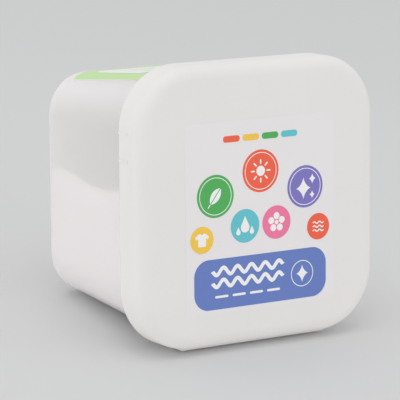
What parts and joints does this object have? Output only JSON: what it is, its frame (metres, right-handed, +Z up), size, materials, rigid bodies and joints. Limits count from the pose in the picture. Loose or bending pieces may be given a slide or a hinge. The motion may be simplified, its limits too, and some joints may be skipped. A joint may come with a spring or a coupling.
{
  "type": "washing powder box",
  "caption": "Square translucent tub with rounded corners and a press-on lid, lying on its side, half full of washing powder, with a colour-printed film on the lid.",
  "frame": {"origin": "on the surface that the box lies on, under the middle of its outer size", "axes": "+Z up, -Y the way the lid faces and comes off (tilted up by 8.5 degrees), +X to the right as seen facing the lid"},
  "size_m": [0.1508, 0.1372, 0.1515],
  "materials": {
    "tub_plastic": "translucent white polypropylene, smooth",
    "lid_plastic": "white polypropylene, fine satin",
    "powder": "loose white powder",
    "clear_film": "clear film on the white lid, soft gloss",
    "ink_blue": "printed film",
    "ink_orange": "printed film",
    "ink_yellow": "printed film",
    "ink_green": "printed film",
    "ink_cyan": "printed film",
    "ink_violet": "printed film",
    "ink_pink": "printed film",
    "label_green": "printed film",
    "label_white": "printed film"
  },
  "bodies": {
    "tub": {"tub": "tub_plastic", "powder": "powder", "side_label": "label_green", "side_label_panel": "label_white"},
    "lid": {"lid": "lid_plastic", "lid_film": "clear_film", "print_blue": "ink_blue", "print_orange": "ink_orange", "print_yellow": "ink_yellow", "print_green": "ink_green", "print_cyan": "ink_cyan", "print_violet": "ink_violet", "print_pink": "ink_pink"}
  },
  "joints": [
    {"name": "lid_pull", "type": "slide", "parent": "tub", "child": "lid", "axis": [0, -0.989, 0.1481], "range_m": [0, 0.1]}
  ]
}
